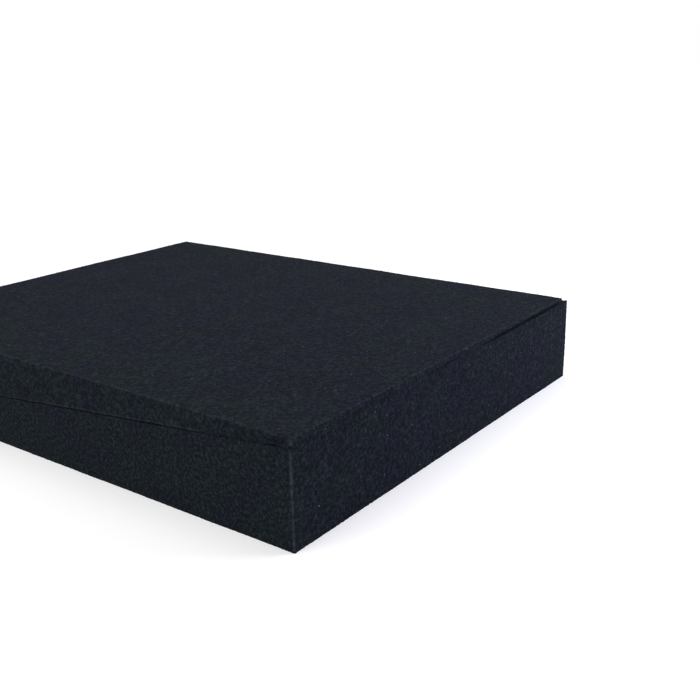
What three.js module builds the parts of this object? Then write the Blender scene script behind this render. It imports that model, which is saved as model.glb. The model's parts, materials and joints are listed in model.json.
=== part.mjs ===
import * as THREE from 'three';

// Speaker isolation pad: two loose wedges of open-cell foam, cut from one block along a sloping plane
// and laid with the cut faces together, so that the top is level. The thick end of the base is at the
// front, under the thin end of the top wedge.
// Millimetres, +Z up. The origin is on the underside, at the middle of the pad. The front face looks
// along -Y and the pad is deepest along +Y.

// Driving dimensions
const padWidth = 270; // base, along the front face
const padDepth = 330; // both wedges, front to rear
const baseThickEnd = 49.2; // height of the base at the front
const baseThinEnd = 14.8; // height of the base at the rear
const topThinEnd = 4; // thickness of the top wedge at the front
const cutGap = 0.3; // clearance between the two cut faces, square to the cut
const topInsetLeft = 0.6; // the top wedge is cut a little narrower than the base
const topInsetRight = 8;
const edgeRound = 0.6; // radius of the long edges, which the cutting blade leaves barely broken
const sideEdgeShare = 0.6; // the edges round the side faces, as a share of that radius
const largestRoundShare = 0.4; // no radius takes more of a thin end than this
const arcSegments = 3;

// Heights that follow from them
const frontY = -padDepth / 2;
const rearY = padDepth / 2;
const cutAngle = Math.atan2(baseThickEnd - baseThinEnd, padDepth);
const cutRise = cutGap / Math.cos(cutAngle);
const padHeight = baseThickEnd + cutRise + topThinEnd;
const round = Math.min(edgeRound, largestRoundShare * Math.min(topThinEnd, baseThinEnd));

// A side outline in the Y-Z plane, counterclockwise, with each corner rounded
function roundedOutline(corners, radius) {
  const shape = new THREE.Shape();
  corners.forEach((corner, i) => {
    const before = corners[(i + corners.length - 1) % corners.length];
    const after = corners[(i + 1) % corners.length];
    const toBefore = before.clone().sub(corner).normalize();
    const toAfter = after.clone().sub(corner).normalize();
    const halfAngle = Math.acos(toBefore.dot(toAfter)) / 2;
    const reach = radius / Math.tan(halfAngle);
    const arcStart = corner.clone().addScaledVector(toBefore, reach);
    const arcEnd = corner.clone().addScaledVector(toAfter, reach);
    if (i === 0) {
      shape.moveTo(arcStart.x, arcStart.y);
    } else {
      shape.lineTo(arcStart.x, arcStart.y);
    }
    shape.quadraticCurveTo(corner.x, corner.y, arcEnd.x, arcEnd.y);
  });
  shape.closePath();
  return shape;
}

// The outline is swept along X from leftX to rightX, and the edges round its two ends are broken
function wedgeGeometry(corners, leftX, rightX) {
  const bevel = sideEdgeShare * round;
  const geometry = new THREE.ExtrudeGeometry(roundedOutline(corners, round), {
    depth: rightX - leftX - 2 * bevel,
    curveSegments: arcSegments,
    bevelEnabled: true,
    bevelThickness: bevel,
    bevelSize: bevel,
    bevelOffset: -bevel,
    bevelSegments: arcSegments,
  });
  geometry.translate(0, 0, leftX + bevel);
  // The outline's own X and Y become Y and Z, and the sweep becomes X
  geometry.rotateX(Math.PI / 2);
  geometry.rotateZ(Math.PI / 2);
  return geometry;
}

function foamWedge(name, geometry, colour) {
  const material = new THREE.MeshStandardMaterial({ color: colour, roughness: 0.95, metalness: 0 });
  const mesh = new THREE.Mesh(geometry, material);
  mesh.name = name;
  return mesh;
}

// Base wedge: level underside, top face falling to the rear
function baseWedge() {
  const corners = [
    new THREE.Vector2(frontY, 0),
    new THREE.Vector2(rearY, 0),
    new THREE.Vector2(rearY, baseThinEnd),
    new THREE.Vector2(frontY, baseThickEnd),
  ];
  return foamWedge('base_wedge', wedgeGeometry(corners, -padWidth / 2, padWidth / 2), 0x23282f);
}

// Top wedge: lies on the base's slope, and its own top is level
function topWedge() {
  const corners = [
    new THREE.Vector2(frontY, baseThickEnd + cutRise),
    new THREE.Vector2(rearY, baseThinEnd + cutRise),
    new THREE.Vector2(rearY, padHeight),
    new THREE.Vector2(frontY, padHeight),
  ];
  const leftX = -padWidth / 2 + topInsetLeft;
  const rightX = padWidth / 2 - topInsetRight;
  return foamWedge('top_wedge', wedgeGeometry(corners, leftX, rightX), 0x262b32);
}

const pad = new THREE.Group();
pad.name = 'speaker_isolation_pad';
pad.add(baseWedge(), topWedge());

export default pad;
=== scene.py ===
import json
import math

import bpy
import numpy as np
from mathutils import Matrix, Vector

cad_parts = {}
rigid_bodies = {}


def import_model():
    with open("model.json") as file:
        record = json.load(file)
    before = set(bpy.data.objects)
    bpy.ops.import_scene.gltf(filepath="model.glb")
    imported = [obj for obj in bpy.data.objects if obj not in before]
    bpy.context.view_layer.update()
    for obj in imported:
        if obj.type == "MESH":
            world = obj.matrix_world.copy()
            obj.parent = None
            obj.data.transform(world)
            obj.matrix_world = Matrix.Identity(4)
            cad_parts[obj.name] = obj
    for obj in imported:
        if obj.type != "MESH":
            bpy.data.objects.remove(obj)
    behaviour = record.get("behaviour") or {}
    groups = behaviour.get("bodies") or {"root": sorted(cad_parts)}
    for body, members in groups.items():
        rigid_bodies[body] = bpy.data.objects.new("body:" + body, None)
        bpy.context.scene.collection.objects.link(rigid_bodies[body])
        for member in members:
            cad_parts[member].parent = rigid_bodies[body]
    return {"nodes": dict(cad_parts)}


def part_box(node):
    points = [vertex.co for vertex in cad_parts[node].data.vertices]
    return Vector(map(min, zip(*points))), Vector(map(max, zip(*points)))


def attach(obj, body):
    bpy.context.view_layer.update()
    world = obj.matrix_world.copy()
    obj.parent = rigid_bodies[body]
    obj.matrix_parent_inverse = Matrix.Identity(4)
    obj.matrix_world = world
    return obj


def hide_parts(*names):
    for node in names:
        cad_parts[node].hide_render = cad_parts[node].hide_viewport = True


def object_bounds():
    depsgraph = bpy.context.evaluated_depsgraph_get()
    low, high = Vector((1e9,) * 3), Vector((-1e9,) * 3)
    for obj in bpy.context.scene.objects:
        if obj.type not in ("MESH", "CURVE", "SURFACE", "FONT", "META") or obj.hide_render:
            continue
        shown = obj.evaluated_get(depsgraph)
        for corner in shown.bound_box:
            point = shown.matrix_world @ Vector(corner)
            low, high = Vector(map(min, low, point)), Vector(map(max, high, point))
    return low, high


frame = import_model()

# Speaker isolation pad: two loose wedges of open-cell polyurethane foam, cut with a blade.
# Sizes are in millimetres and become metres through MM. The frame is the CAD's own: the front face
# looks along -Y, the pad is deepest along +Y, and +Z is up.
MM = 0.001
cad_low, cad_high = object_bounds()
base_low, base_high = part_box("base_wedge")
top_low, top_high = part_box("top_wedge")

# Blade-cut edges: how far each kind is broken. The free top edges are worn softest.
WORN_EDGE = 0.9 * MM
UPRIGHT_EDGE = 0.4 * MM
SHARP_EDGE = 0.08 * MM
BASE_SEGMENTS = 3
TOP_SEGMENTS = 5

# The cut faces press together, and the seam opens only away from the near corner
PRESSED_GAP = 0.03 * MM
LEFT_LIP = 0.6 * MM
FRONT_LIP = 1.8 * MM
LIP_REACH = 5 * MM
CUT_FACE_BAND = (0.5 * MM, 3 * MM)
LEFT_SEAM_OPENS = (35 * MM, 75 * MM)
FRONT_SEAM_OPENS = (154 * MM, 186 * MM)
FRONT_LIP_FADES = 30 * MM

# The cut is a little twisted: how far it lies above the plain one at the front left, front right,
# rear left and rear right
CUT_RISE = (-0.55 * MM, 1.7 * MM, 0.7 * MM, 0.0)

# A point this near to a face's plane, or to a wall, belongs to it
ON_FACE = 1 * MM

# Longest mesh edge on each kind of surface
CREASED_EDGE = 0.4 * MM
FINE_EDGE = 0.8 * MM
SIDE_EDGE = 1.5 * MM
TOP_EDGE = 2.7 * MM
HIDDEN_EDGE = 11 * MM
FINE_BAND = 1.2 * MM
SUBDIVISIONS = 11

# Relief in the mesh itself: size of the pattern and full height, from low to high
CELL_RELIEF = (1.1 * MM, 0.30 * MM)
FRAY_RELIEF = (0.9 * MM, 0.6 * MM)
HAND_RELIEF = (42 * MM, 0.6 * MM)
CREASE_RELIEF = (1.1 * MM, 3.0 * MM)
CREASE_STRETCH = 7
CREASES_FADE = 5 * MM
CREASES_END = 32 * MM
WEIGHT_STEPS = 20

# How far from a cut edge the foam is frayed, and from where that fades in the mesh and in the painted
# edge highlight
FRAY_BAND = 1.0 * MM
FRAY_FADES = 0.4 * MM
EDGE_HIGHLIGHT_FADES = 0.3 * MM


# Meshes

def deselect_all():
    for o in bpy.context.view_layer.objects:
        o.select_set(False)


def make_active(piece):
    deselect_all()
    piece.select_set(True)
    bpy.context.view_layer.objects.active = piece


def points_of(mesh):
    co = np.zeros(len(mesh.vertices) * 3)
    mesh.vertices.foreach_get("co", co)
    return co.reshape(-1, 3)


def set_points(mesh, co):
    mesh.vertices.foreach_set("co", co.astype(np.float32).ravel())
    mesh.update()


def smooth_step(x, low, high):
    t = np.clip((x - low) / (high - low), 0, 1)
    return t * t * (3 - 2 * t)


def select_vertices(piece, chosen):
    """Leaves the piece in edit mode with just these vertices, and what they span, selected."""
    make_active(piece)
    mesh = piece.data
    mesh.edges.foreach_set("select", np.zeros(len(mesh.edges), bool))
    mesh.polygons.foreach_set("select", np.zeros(len(mesh.polygons), bool))
    mesh.vertices.foreach_set("select", chosen)
    bpy.context.tool_settings.mesh_select_mode = (True, False, False)
    bpy.ops.object.mode_set(mode="EDIT")


def select_edges(piece, chosen):
    """Leaves the piece in edit mode with just these edges selected."""
    make_active(piece)
    mesh = piece.data
    mesh.vertices.foreach_set("select", np.zeros(len(mesh.vertices), bool))
    mesh.polygons.foreach_set("select", np.zeros(len(mesh.polygons), bool))
    mesh.edges.foreach_set("select", chosen)
    bpy.context.tool_settings.mesh_select_mode = (False, True, False)
    bpy.ops.object.mode_set(mode="EDIT")


def cut_heights(node):
    """Heights of a CAD wedge's sloping face at the front and at the rear of the pad."""
    mesh = frame["nodes"][node].data
    # The cut face is neither quite level nor steep, and larger than any face of a rounded edge
    sloping = [p for p in mesh.polygons if abs(p.normal.y) > 0.05 and abs(p.normal.z) > 0.9]
    face = max(sloping, key=lambda p: p.area)
    point, normal = mesh.vertices[face.vertices[0]].co, face.normal
    return [point.z - normal.y / normal.z * (y - point.y) for y in (cad_low.y, cad_high.y)]


class Wedge:
    """The plain form of one wedge: its side walls, its level face and its sloping cut."""

    def __init__(self, node, low, high, level_is_low):
        self.low, self.high, self.level_is_low = low, high, level_is_low
        self.cut_front, self.cut_rear = cut_heights(node)
        self.level = low.z if level_is_low else high.z
        self.slope = (self.cut_rear - self.cut_front) / (high.y - low.y)

    def cut_z(self, y):
        return self.cut_front + self.slope * (y - self.low.y)

    def edges(self):
        """The twelve edges, as pairs of end points."""
        xs, ys = (self.low.x, self.high.x), (self.low.y, self.high.y)
        corner = {(i, j, k): np.array((xs[i], ys[j], self.level if k else self.cut_z(ys[j])))
                  for i in (0, 1) for j in (0, 1) for k in (0, 1)}
        pairs = []
        for a in corner:
            for axis in range(3):
                b = tuple(1 if n == axis else v for n, v in enumerate(a))
                if a != b:
                    pairs.append((corner[a], corner[b]))
        return pairs

    def edge_distance(self, co):
        """Distance from each point to the wedge's nearest edge."""
        nearest = np.full(len(co), 1e9)
        for a, b in self.edges():
            along = b - a
            t = np.clip((co - a) @ along / (along @ along), 0, 1)
            nearest = np.minimum(nearest, np.linalg.norm(co - a - t[:, None] * along, axis=1))
        return nearest

    def wall_distance(self, co):
        """How far each point lies inside the nearest side wall."""
        return np.minimum.reduce([co[:, 0] - self.low.x, self.high.x - co[:, 0],
                                  co[:, 1] - self.low.y, self.high.y - co[:, 1]])

    def on_cut(self, co, within):
        return np.abs(co[:, 2] - self.cut_z(co[:, 1])) < within

    def on_level(self, co, within):
        return np.abs(co[:, 2] - self.level) < within


base = Wedge("base_wedge", base_low, base_high, True)
top = Wedge("top_wedge", top_low, top_high, False)


def plain_wedge(name, wedge):
    """A box whose cut face is tilted in edit mode, with its edges broken."""
    deselect_all()
    cut_high_at_front = max(wedge.cut_front, wedge.cut_rear)
    low_z = wedge.level if wedge.level_is_low else cut_high_at_front
    high_z = cut_high_at_front if wedge.level_is_low else wedge.level
    low, high = Vector((*wedge.low.xy, low_z)), Vector((*wedge.high.xy, high_z))
    bpy.ops.mesh.primitive_cube_add(size=1, location=(low + high) / 2, scale=high - low)
    piece = bpy.context.object
    piece.name = name
    bpy.ops.object.transform_apply(location=True, rotation=True, scale=True)
    # The rear edge of the cut face comes down to the thin end
    co = points_of(piece.data)
    near = (high.z - low.z) / 4
    select_vertices(piece, (co[:, 1] > 0) & (np.abs(co[:, 2] - cut_high_at_front) < near))
    bpy.ops.transform.translate(value=(0, 0, wedge.cut_rear - wedge.cut_front))
    bpy.ops.object.mode_set(mode="OBJECT")
    break_edges(piece, wedge)
    return piece


def break_edges(piece, wedge):
    """Rounds every edge: the free top edges most, those of the seam and the underside least."""
    mesh = piece.data
    co = points_of(mesh)
    weights = mesh.attributes.new("bevel_weight_edge", "FLOAT", "EDGE")
    for edge, weight in zip(mesh.edges, weights.data):
        both = co[list(edge.vertices)]
        if wedge.on_cut(both, ON_FACE).all():
            width = SHARP_EDGE
        elif wedge.on_level(both, ON_FACE).all():
            width = SHARP_EDGE if wedge.level_is_low else WORN_EDGE
        else:
            width = UPRIGHT_EDGE
        weight.value = width / WORN_EDGE
    bevel = piece.modifiers.new("broken_edges", "BEVEL")
    bevel.limit_method = "WEIGHT"
    bevel.width = WORN_EDGE
    bevel.segments = BASE_SEGMENTS if wedge.level_is_low else TOP_SEGMENTS
    make_active(piece)
    bpy.ops.object.modifier_apply(modifier=bevel.name)


def corner_distance(wedge, co):
    """Distance in plan from the wedge's near upright edge."""
    return np.hypot(co[:, 0] - wedge.low.x, co[:, 1] - wedge.low.y)


def longest_edge(wedge, co):
    """The longest mesh edge wanted at each point."""
    hidden = wedge.wall_distance(co) > LIP_REACH
    wanted = np.full(len(co), SIDE_EDGE)
    wanted[hidden & wedge.on_cut(co, ON_FACE)] = HIDDEN_EDGE
    wanted[hidden & wedge.on_level(co, ON_FACE)] = HIDDEN_EDGE if wedge.level_is_low else TOP_EDGE
    wanted[wedge.edge_distance(co) < FINE_BAND] = FINE_EDGE
    if not wedge.level_is_low:
        creased = (corner_distance(wedge, co) < CREASES_END) & (co[:, 0] < wedge.low.x + ON_FACE)
        wanted[creased] = CREASED_EDGE
    return wanted


def subdivide(piece, wedge):
    """Halves each edge that is longer than its surface needs, until none is left."""
    for _ in range(SUBDIVISIONS):
        mesh = piece.data
        co = points_of(mesh)
        ends = np.zeros(len(mesh.edges) * 2, int)
        mesh.edges.foreach_get("vertices", ends)
        a, b = co[ends[0::2]], co[ends[1::2]]
        wanted = np.minimum.reduce([longest_edge(wedge, p) for p in (a, (a + b) / 2, b)])
        chosen = np.linalg.norm(b - a, axis=1) > wanted
        if not chosen.any():
            break
        select_edges(piece, chosen)
        bpy.ops.mesh.subdivide(number_cuts=1, ngon=False, quadcorner="INNERVERT")
        bpy.ops.object.mode_set(mode="OBJECT")


def weigh(piece, name, weights):
    """Stores weights in a vertex group, in steps fine enough for relief."""
    group = piece.vertex_groups.new(name=name)
    steps = np.round(weights * WEIGHT_STEPS).astype(int)
    for step in range(1, WEIGHT_STEPS + 1):
        members = np.nonzero(steps == step)[0]
        if len(members):
            group.add(members.tolist(), step / WEIGHT_STEPS, "REPLACE")
    return name


def raise_relief(piece, name, kind, relief, group, across=None):
    """Displaces the mesh by a procedural pattern of a real size, within a vertex group."""
    size, height = relief
    texture = bpy.data.textures.new(name, kind)
    texture.noise_scale = size
    modifier = piece.modifiers.new(name, "DISPLACE")
    modifier.texture = texture
    modifier.texture_coords = "LOCAL" if across is None else "OBJECT"
    modifier.texture_coords_object = across
    modifier.vertex_group = group
    modifier.strength = height
    modifier.mid_level = 0.5
    make_active(piece)
    bpy.ops.object.modifier_apply(modifier=name)


def seam_opening(co):
    """How far the seam stands open along the outline. It is pressed shut round the near corner."""
    from_corner_x, from_corner_y = co[:, 0] - cad_low.x, co[:, 1] - cad_low.y
    front = FRONT_LIP * smooth_step(from_corner_x, *FRONT_SEAM_OPENS)
    left = LEFT_LIP * smooth_step(from_corner_y, *LEFT_SEAM_OPENS)
    sides = np.where(co[:, 0] < cad_high.x - LIP_REACH - TOP_EDGE, left, LEFT_LIP)
    return front + (sides - front) * smooth_step(from_corner_y, LIP_REACH, FRONT_LIP_FADES)


def cut_rise(co):
    """How far the twisted cut lies above the plain one."""
    along = (co[:, 0] - cad_low.x) / (cad_high.x - cad_low.x)
    back = (co[:, 1] - cad_low.y) / (cad_high.y - cad_low.y)
    front_left, front_right, rear_left, rear_right = CUT_RISE
    front = front_left + (front_right - front_left) * along
    rear = rear_left + (rear_right - rear_left) * along
    return front + (rear - front) * back


def seat_cut(piece, wedge, side):
    """Twists the cut, presses its faces together and opens the lips of the seam."""
    mesh = piece.data
    co = points_of(mesh)
    plain_cut = wedge.cut_z(co[:, 1])
    near_cut = 1 - smooth_step(np.abs(co[:, 2] - plain_cut), *CUT_FACE_BAND)
    height_share = np.clip((co[:, 2] - wedge.level) / (plain_cut - wedge.level), 0, 1)
    rest_gap = (top.cut_z(0) - base.cut_z(0) - PRESSED_GAP) / 2
    lip = 1 - smooth_step(wedge.wall_distance(co), 0, LIP_REACH)
    co[:, 2] += cut_rise(co) * height_share
    co[:, 2] += side * near_cut * (seam_opening(co) / 2 * lip - rest_gap)
    middle = (base.cut_z(co[:, 1]) + top.cut_z(co[:, 1])) / 2 + cut_rise(co)
    limit = middle + side * PRESSED_GAP / 2
    co[:, 2] = np.maximum(co[:, 2], limit) if side > 0 else np.minimum(co[:, 2], limit)
    if wedge.level_is_low:
        co[:, 2] = np.maximum(co[:, 2], wedge.level)
    set_points(mesh, co)


def crease_thin_end(piece, wedge):
    """The top wedge's left side is crumpled at its thin end, where it is pressed at the near corner."""
    stretched = bpy.data.objects.new("crease_space", None)
    bpy.context.scene.collection.objects.link(stretched)
    stretched.scale = (CREASE_STRETCH, CREASE_STRETCH, 1)
    bpy.context.view_layer.update()
    co = points_of(piece.data)
    weights = 1 - smooth_step(corner_distance(wedge, co), CREASES_FADE, CREASES_END)
    weights *= co[:, 0] < wedge.low.x + ON_FACE
    group = weigh(piece, "thin_end", weights)
    raise_relief(piece, "creases", "CLOUDS", CREASE_RELIEF, group, across=stretched)
    bpy.data.objects.remove(stretched)


def mark_edge_highlights(piece, wedge, strengths):
    """Stores how strongly a painted highlight lightens each point near a cut edge, standing in for
    frayed fibres that catch the light, for the material.
    strengths are those of the upright edges, of the level face's edges, and of the cut face's edges
    at the left and rear, and at the right, where the base stands out as a ledge."""
    co = points_of(piece.data)
    near = 1 - smooth_step(wedge.edge_distance(co), EDGE_HIGHLIGHT_FADES, FRAY_BAND)
    upright, level, seam, ledge = strengths
    strength = np.full(len(co), upright)
    strength[wedge.on_level(co, FRAY_BAND)] = level
    open_seam = seam * np.minimum(seam_opening(co) / LEFT_LIP, 1)
    open_seam[co[:, 0] > wedge.high.x - FRAY_BAND] = ledge
    open_seam[co[:, 1] < wedge.low.y + FRAY_BAND] = 0
    strength = np.where(wedge.on_cut(co, FRAY_BAND), open_seam, strength)
    attribute = piece.data.attributes.new("cut_edge", "FLOAT", "POINT")
    attribute.data.foreach_set("value", (near * strength).astype(np.float32))


def shade_by_area(piece):
    """Smooth shading that the narrow faces of a broken edge don't spread onto the walls."""
    make_active(piece)
    bpy.ops.object.shade_smooth()
    normals = piece.modifiers.new("area_normals", "WEIGHTED_NORMAL")
    normals.mode = "FACE_AREA"
    bpy.ops.object.modifier_apply(modifier=normals.name)


def foam_wedge(name, node, wedge, side, edge_highlight_strengths):
    """One wedge of foam in place of its CAD node. side is 1 for the piece above, and -1 below."""
    piece = plain_wedge(name, wedge)
    subdivide(piece, wedge)
    mark_edge_highlights(piece, wedge, edge_highlight_strengths)
    co = points_of(piece.data)
    inside = smooth_step(wedge.wall_distance(co), ON_FACE, LIP_REACH)
    underside = wedge.level_is_low & wedge.on_level(co, ON_FACE)
    hidden = inside * (wedge.on_cut(co, ON_FACE) | underside)
    shown = weigh(piece, "shown", 1 - hidden)
    near_edge = 1 - smooth_step(wedge.edge_distance(co), FRAY_FADES, FRAY_BAND)
    frayed = weigh(piece, "frayed", near_edge)
    raise_relief(piece, "hand_cut", "CLOUDS", HAND_RELIEF, shown)
    raise_relief(piece, "cells", "CLOUDS", CELL_RELIEF, shown)
    raise_relief(piece, "fray", "CLOUDS", FRAY_RELIEF, frayed)
    if side > 0:
        crease_thin_end(piece, wedge)
    seat_cut(piece, wedge, side)
    piece.vertex_groups.clear()
    shade_by_area(piece)
    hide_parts(node)
    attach(piece, "root")
    return piece


# Materials

def linear(hex_colour):
    """An sRGB hex colour as linear RGBA."""
    parts = [int(hex_colour[i:i + 2], 16) / 255 for i in (1, 3, 5)]
    return [p / 12.92 if p <= 0.04045 else ((p + 0.055) / 1.055) ** 2.4 for p in parts] + [1]


def add_node(tree, kind, inputs=None, **settings):
    """Adds a node with its settings. An input is a value, or the socket that feeds it."""
    node = tree.nodes.new(kind)
    for key, value in settings.items():
        setattr(node, key, value)
    for socket, value in (inputs or {}).items():
        if isinstance(value, bpy.types.NodeSocket):
            tree.links.new(value, node.inputs[socket])
        else:
            node.inputs[socket].default_value = value
    return node


def new_material(name):
    material = bpy.data.materials.new(name)
    material.use_nodes = True
    material.node_tree.nodes.clear()
    return material, material.node_tree


# Open-cell polyurethane foam, about 14 cells to the inch, sliced with an oscillating blade.
# The slice leaves a dull charcoal net of cut struts over pores, which are painted dark as the shade
# inside the open cells. Painted highlights make pale specks where a few cell windows glint, and a paler
# line along each cut edge, where fluffed fibres catch the light.
CELL = 1.8 * MM
STRUT_SHARE = 0.28
WARP = 0.4 * MM
GRAIN = 1.8 * MM
STRUTS_SHOWN = (0.47, 0.70)
STRUT_STRENGTH = 0.9
GROUND_SHOWN = (0.3, 0.7)
GROUND_STRENGTH = 0.48
# The pores are painted dark, as the shade inside the open cells
PORE_SHADE_COLOUR = "#0d1015"
STRUT_COLOUR = "#2c3238"
PATCH = 26 * MM
TINT_GRAIN = 2.6 * MM
TINT_GRAIN_SHARE = 0.3
TINT_RANGE = (0.39, 0.61)
# Painted tint of the light: cooler near the left and right sides, more violet between them
TINTED_SIDE_BAND = 60 * MM
SIDE_LIGHT_TINT = (0.06, -0.05)
COOL_TINT = "#f1fff6"
VIOLET_TINT = "#eee8ff"
# Painted highlight along each cut edge, where fluffed fibres catch the light
EDGE_HIGHLIGHT_SHOWN = (0.35, 0.65)
EDGE_HIGHLIGHT_LEAST = 0.35
EDGE_HIGHLIGHT_COLOUR = "#393f46"
# Painted highlights: pale specks where cell windows glint
GLINT_SPACING = 2.4 * MM
GLINT_REACH = (0.0, 0.21)
GLINT_CHANCE = 0.16
GLINT_HIGHLIGHT_COLOUR = "#7b828a"
BUMP_STRENGTH = 0.4
BUMP_HEIGHT = 0.3 * MM


def cut_cells(tree, at):
    """The net of struts, the grain of the cut, and how light the two make each place."""
    # The cells are warped a little, so that no two are alike
    warp = add_node(tree, "ShaderNodeTexNoise", {"Vector": at, "Scale": 0.5 / CELL, "Detail": 1.0})
    centred = add_node(tree, "ShaderNodeVectorMath",
                       {0: warp.outputs["Color"], 1: (0.5, 0.5, 0.5)}, operation="SUBTRACT")
    scaled = add_node(tree, "ShaderNodeVectorMath",
                      {0: centred.outputs[0], "Scale": 2 * WARP}, operation="SCALE")
    warped = add_node(tree, "ShaderNodeVectorMath",
                      {0: at, 1: scaled.outputs[0]}, operation="ADD").outputs[0]

    # Struts are the walls between cells. Only those that the blade left standing catch the light, so
    # that they show as short curved lines.
    net = add_node(tree, "ShaderNodeTexVoronoi", {"Vector": warped, "Scale": 1 / CELL},
                   feature="DISTANCE_TO_EDGE")
    strut = add_node(tree, "ShaderNodeMapRange",
                     {"Value": net.outputs["Distance"], "From Min": 0.0, "From Max": STRUT_SHARE,
                      "To Min": 1.0, "To Max": 0.0}).outputs["Result"]
    grain = add_node(tree, "ShaderNodeTexNoise",
                     {"Vector": at, "Scale": 1 / GRAIN, "Detail": 3.0,
                      "Roughness": 0.8}).outputs["Fac"]
    standing = add_node(tree, "ShaderNodeMapRange",
                        {"Value": grain, "From Min": STRUTS_SHOWN[0], "From Max": STRUTS_SHOWN[1],
                         "To Min": 0.0, "To Max": STRUT_STRENGTH})
    ground = add_node(tree, "ShaderNodeMapRange",
                      {"Value": grain, "From Min": GROUND_SHOWN[0], "From Max": GROUND_SHOWN[1],
                       "To Min": 0.0, "To Max": GROUND_STRENGTH})
    lightness = add_node(tree, "ShaderNodeMath",
                         {0: strut, 1: standing.outputs["Result"], 2: ground.outputs["Result"]},
                         operation="MULTIPLY_ADD", use_clamp=True).outputs[0]
    return strut, grain, lightness


def dye_and_light_tint(tree, place, at):
    """The dye takes unevenly, in faint cool and violet patches a few centimetres wide, and from cell
    to cell. On top of that, a painted tint standing in for the colour of the light makes the foam
    coolest along the left and right sides and more violet between them."""
    patch = add_node(tree, "ShaderNodeTexNoise", {"Vector": at, "Scale": 1 / PATCH, "Detail": 2.0})
    fine_patch = add_node(tree, "ShaderNodeTexNoise", {"Vector": at, "Scale": 1 / TINT_GRAIN})
    both = add_node(tree, "ShaderNodeMix",
                    {"Factor": TINT_GRAIN_SHARE, "A": patch.outputs["Fac"],
                     "B": fine_patch.outputs["Fac"]}, data_type="FLOAT")
    across = add_node(tree, "ShaderNodeSeparateXYZ", {"Vector": place})
    from_middle = add_node(tree, "ShaderNodeMath", {0: across.outputs["X"]}, operation="ABSOLUTE")
    to_side = add_node(tree, "ShaderNodeMapRange",
                       {"Value": from_middle.outputs[0], "From Min": cad_high.x - TINTED_SIDE_BAND,
                        "From Max": cad_high.x, "To Min": SIDE_LIGHT_TINT[0], "To Max": SIDE_LIGHT_TINT[1]})
    shifted = add_node(tree, "ShaderNodeMath",
                       {0: both.outputs["Result"], 1: to_side.outputs["Result"]}, operation="ADD")
    share = add_node(tree, "ShaderNodeMapRange",
                     {"Value": shifted.outputs[0], "From Min": TINT_RANGE[0],
                      "From Max": TINT_RANGE[1], "To Min": 0.0, "To Max": 1.0})
    return add_node(tree, "ShaderNodeMix",
                    {"Factor": share.outputs["Result"], "A": linear(COOL_TINT),
                     "B": linear(VIOLET_TINT)}, data_type="RGBA").outputs["Result"]


def painted_edge_highlight(tree, grain):
    """How strongly a painted highlight lightens a cut edge at each place, where its fluffed fibres
    catch the light, broken up into dots of about a cell.
    """
    edge = add_node(tree, "ShaderNodeAttribute", attribute_name="cut_edge")
    dots = add_node(tree, "ShaderNodeMapRange",
                    {"Value": grain, "From Min": EDGE_HIGHLIGHT_SHOWN[0], "From Max": EDGE_HIGHLIGHT_SHOWN[1],
                     "To Min": EDGE_HIGHLIGHT_LEAST, "To Max": 1.0})
    return add_node(tree, "ShaderNodeMath", {0: edge.outputs["Fac"], 1: dots.outputs["Result"]},
                    operation="MULTIPLY", use_clamp=True).outputs[0]


def painted_window_glints(tree, at):
    """A cell window that happens to face out gets a painted highlight, a pale speck where it would
    glint. The random colour of its cell says whether it does, and how much."""
    windows = add_node(tree, "ShaderNodeTexVoronoi", {"Vector": at, "Scale": 1 / GLINT_SPACING})
    chance = add_node(tree, "ShaderNodeSeparateColor", {"Color": windows.outputs["Color"]})
    glint = add_node(tree, "ShaderNodeMapRange",
                     {"Value": chance.outputs["Red"], "From Min": 1 - GLINT_CHANCE,
                      "From Max": 1.0, "To Min": 0.0, "To Max": 1.0})
    few_bright = add_node(tree, "ShaderNodeMath", {0: glint.outputs["Result"], 1: 2.0},
                          operation="POWER")
    dot = add_node(tree, "ShaderNodeMapRange",
                   {"Value": windows.outputs["Distance"], "From Min": GLINT_REACH[0],
                    "From Max": GLINT_REACH[1], "To Min": 1.0, "To Max": 0.0},
                   interpolation_type="SMOOTHSTEP")
    return add_node(tree, "ShaderNodeMath", {0: dot.outputs["Result"], 1: few_bright.outputs[0]},
                    operation="MULTIPLY").outputs[0]


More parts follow.
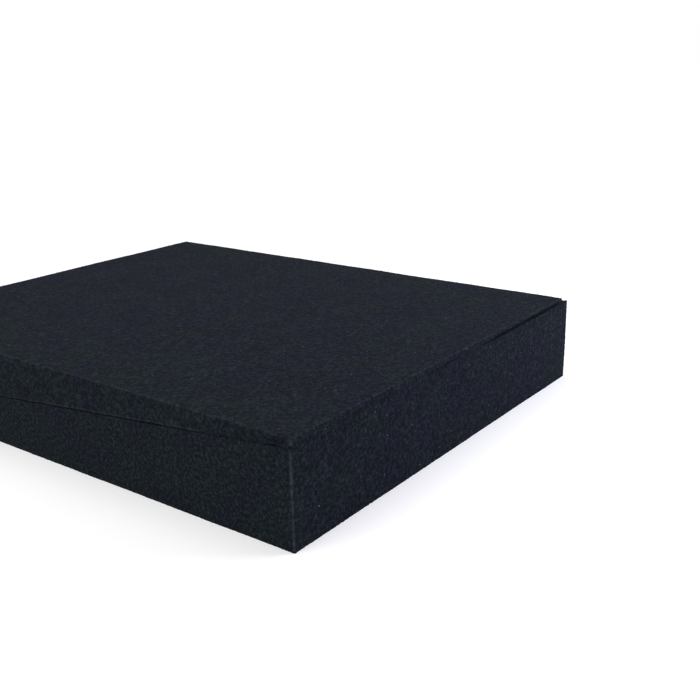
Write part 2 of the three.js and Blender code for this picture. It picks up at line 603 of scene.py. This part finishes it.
def foam_material(name, shift):
    """The foam. shift moves its patterns, so that no two pieces show the same ones."""
    material, tree = new_material(name)
    place = add_node(tree, "ShaderNodeTexCoord").outputs["Object"]
    at = add_node(tree, "ShaderNodeMapping", {"Vector": place, "Location": shift}).outputs["Vector"]
    strut, grain, lightness = cut_cells(tree, at)
    net = add_node(tree, "ShaderNodeMix",
                   {"Factor": lightness, "A": linear(PORE_SHADE_COLOUR), "B": linear(STRUT_COLOUR)},
                   data_type="RGBA")
    tinted = add_node(tree, "ShaderNodeMix",
                    {"Factor": 1.0, "A": net.outputs["Result"], "B": dye_and_light_tint(tree, place, at)},
                    data_type="RGBA", blend_type="MULTIPLY")
    highlighted = add_node(tree, "ShaderNodeMix",
                     {"Factor": painted_edge_highlight(tree, grain), "A": tinted.outputs["Result"],
                      "B": linear(EDGE_HIGHLIGHT_COLOUR)}, data_type="RGBA")
    glint_painted = add_node(tree, "ShaderNodeMix",
                        {"Factor": painted_window_glints(tree, at), "A": highlighted.outputs["Result"],
                         "B": linear(GLINT_HIGHLIGHT_COLOUR)}, data_type="RGBA")
    height = add_node(tree, "ShaderNodeMath", {0: strut, 1: grain}, operation="ADD")
    bump = add_node(tree, "ShaderNodeBump",
                    {"Height": height.outputs[0], "Strength": BUMP_STRENGTH,
                     "Distance": BUMP_HEIGHT})
    shader = add_node(tree, "ShaderNodeBsdfPrincipled",
                      {"Base Color": glint_painted.outputs["Result"], "Normal": bump.outputs["Normal"],
                       "Roughness": 0.95, "IOR": 1.5, "Specular IOR Level": 0.04})
    add_node(tree, "ShaderNodeOutputMaterial", {"Surface": shader.outputs["BSDF"]})
    return material


def seen_directly(tree):
    """1 for a ray that shows the background itself or its reflection."""
    path = add_node(tree, "ShaderNodeLightPath")
    first = add_node(tree, "ShaderNodeMath", {0: path.outputs["Is Camera Ray"],
                                              1: path.outputs["Is Glossy Ray"]},
                     operation="MAXIMUM")
    return add_node(tree, "ShaderNodeMath", {0: first.outputs[0],
                                             1: path.outputs["Is Transmission Ray"]},
                    operation="MAXIMUM").outputs[0]


# Matt white laminate, which keeps the pad's soft shadow and clips to white around it
FLOOR_COLOUR = "#e6e6e6"
FLOOR_LIFT = 0.35
LIFT_STARTS = 0.45
LIFT_ENDS = 1.6


def floor_material():
    material, tree = new_material("matt_white_laminate")
    laminate = add_node(tree, "ShaderNodeBsdfDiffuse", {"Color": linear(FLOOR_COLOUR)})
    place = add_node(tree, "ShaderNodeTexCoord").outputs["Object"]
    away = add_node(tree, "ShaderNodeVectorMath", {0: place}, operation="LENGTH")
    lift_here = add_node(tree, "ShaderNodeMapRange",
                         {"Value": away.outputs["Value"], "From Min": LIFT_STARTS,
                          "From Max": LIFT_ENDS, "To Min": FLOOR_LIFT, "To Max": 1.0})
    strength = add_node(tree, "ShaderNodeMath",
                        {0: seen_directly(tree), 1: lift_here.outputs["Result"]},
                        operation="MULTIPLY")
    lift = add_node(tree, "ShaderNodeEmission", {"Color": (1, 1, 1, 1),
                                                 "Strength": strength.outputs[0]})
    both = add_node(tree, "ShaderNodeAddShader", {0: laminate.outputs[0], 1: lift.outputs[0]})
    add_node(tree, "ShaderNodeOutputMaterial", {"Surface": both.outputs[0]})
    return material


# Stage, lights and camera

FLOOR_HALF = 6.0
WORLD_LIGHT = 0.42


def add_floor():
    deselect_all()
    bpy.ops.mesh.primitive_plane_add(size=2 * FLOOR_HALF, location=(0, 0, cad_low.z))
    floor = bpy.context.object
    floor.name = "floor"
    floor.data.materials.append(floor_material())


def set_world():
    world = bpy.data.worlds.new("studio")
    bpy.context.scene.world = world
    world.use_nodes = True
    tree = world.node_tree
    tree.nodes.clear()
    ambient = add_node(tree, "ShaderNodeBackground",
                       {"Color": (1, 1, 1, 1), "Strength": WORLD_LIGHT})
    backdrop = add_node(tree, "ShaderNodeBackground", {"Color": (1, 1, 1, 1), "Strength": 1.0})
    mixed = add_node(tree, "ShaderNodeMixShader",
                     {0: seen_directly(tree), 1: ambient.outputs[0], 2: backdrop.outputs[0]})
    add_node(tree, "ShaderNodeOutputWorld", {"Surface": mixed.outputs[0]})


def add_softbox(name, place, size, power, colour="#ffffff"):
    light = bpy.data.lights.new(name, "AREA")
    light.shape = "SQUARE"
    light.size = size
    light.energy = power
    light.color = linear(colour)[:3]
    softbox = bpy.data.objects.new(name, light)
    bpy.context.scene.collection.objects.link(softbox)
    softbox.location = place
    softbox.rotation_euler = Vector(place).to_track_quat("Z", "Y").to_euler()


# The photograph's camera, worked out from the pad's edges in it: its place from the near corner of
# the underside, the direction it looks in, its roll and its focal length on a 36 mm sensor
NEAR_CORNER = Vector((cad_low.x, cad_low.y, cad_low.z))
CAMERA_FROM_CORNER = Vector((-272.4, -236.3, 209.8)) * MM
CAMERA_AZIMUTH = math.radians(53.094)
CAMERA_PITCH = math.radians(18.227)
CAMERA_ROLL = math.radians(-1.149)
FOCAL_LENGTH = 48.995
SENSOR = 36


def add_camera():
    az, pitch, roll = CAMERA_AZIMUTH, CAMERA_PITCH, CAMERA_ROLL
    ahead = Vector((math.sin(az) * math.cos(pitch), math.cos(az) * math.cos(pitch),
                    -math.sin(pitch)))
    level_right = Vector((math.cos(az), -math.sin(az), 0))
    level_up = level_right.cross(ahead)
    right = math.cos(roll) * level_right + math.sin(roll) * level_up
    up = -math.sin(roll) * level_right + math.cos(roll) * level_up
    data = bpy.data.cameras.new("photo_camera")
    data.sensor_width = SENSOR
    data.lens = FOCAL_LENGTH
    camera = bpy.data.objects.new("photo_camera", data)
    bpy.context.scene.collection.objects.link(camera)
    turn = Matrix((right, up, -ahead)).transposed().to_4x4()
    camera.matrix_world = Matrix.Translation(NEAR_CORNER + CAMERA_FROM_CORNER) @ turn
    bpy.context.scene.camera = camera


add_camera()
set_world()
add_floor()
add_softbox("key_softbox", (0.5, -0.65, 0.4), 0.5, 6.0, "#ebebff")
add_softbox("fill_softbox", (-0.95, 0.15, 0.6), 0.8, 6)
add_softbox("top_softbox", (0.1, 0.3, 1.4), 1.0, 5)
bpy.context.scene.view_settings.view_transform = "Standard"

# The last four numbers set how strong the painted edge highlight is on each kind of edge
base_piece = foam_wedge("base_wedge_foam", "base_wedge", base, -1, (0.9, 0.1, 0.05, 0.6))
base_piece.data.materials.clear()
base_piece.data.materials.append(foam_material("open_cell_polyurethane_base", (0, 0, 0)))

top_piece = foam_wedge("top_wedge_foam", "top_wedge", top, 1, (0.8, 0.4, 0.6, 0.2))
top_piece.data.materials.clear()
top_piece.data.materials.append(foam_material("open_cell_polyurethane_top", (0.31, 0.17, 0.05)))
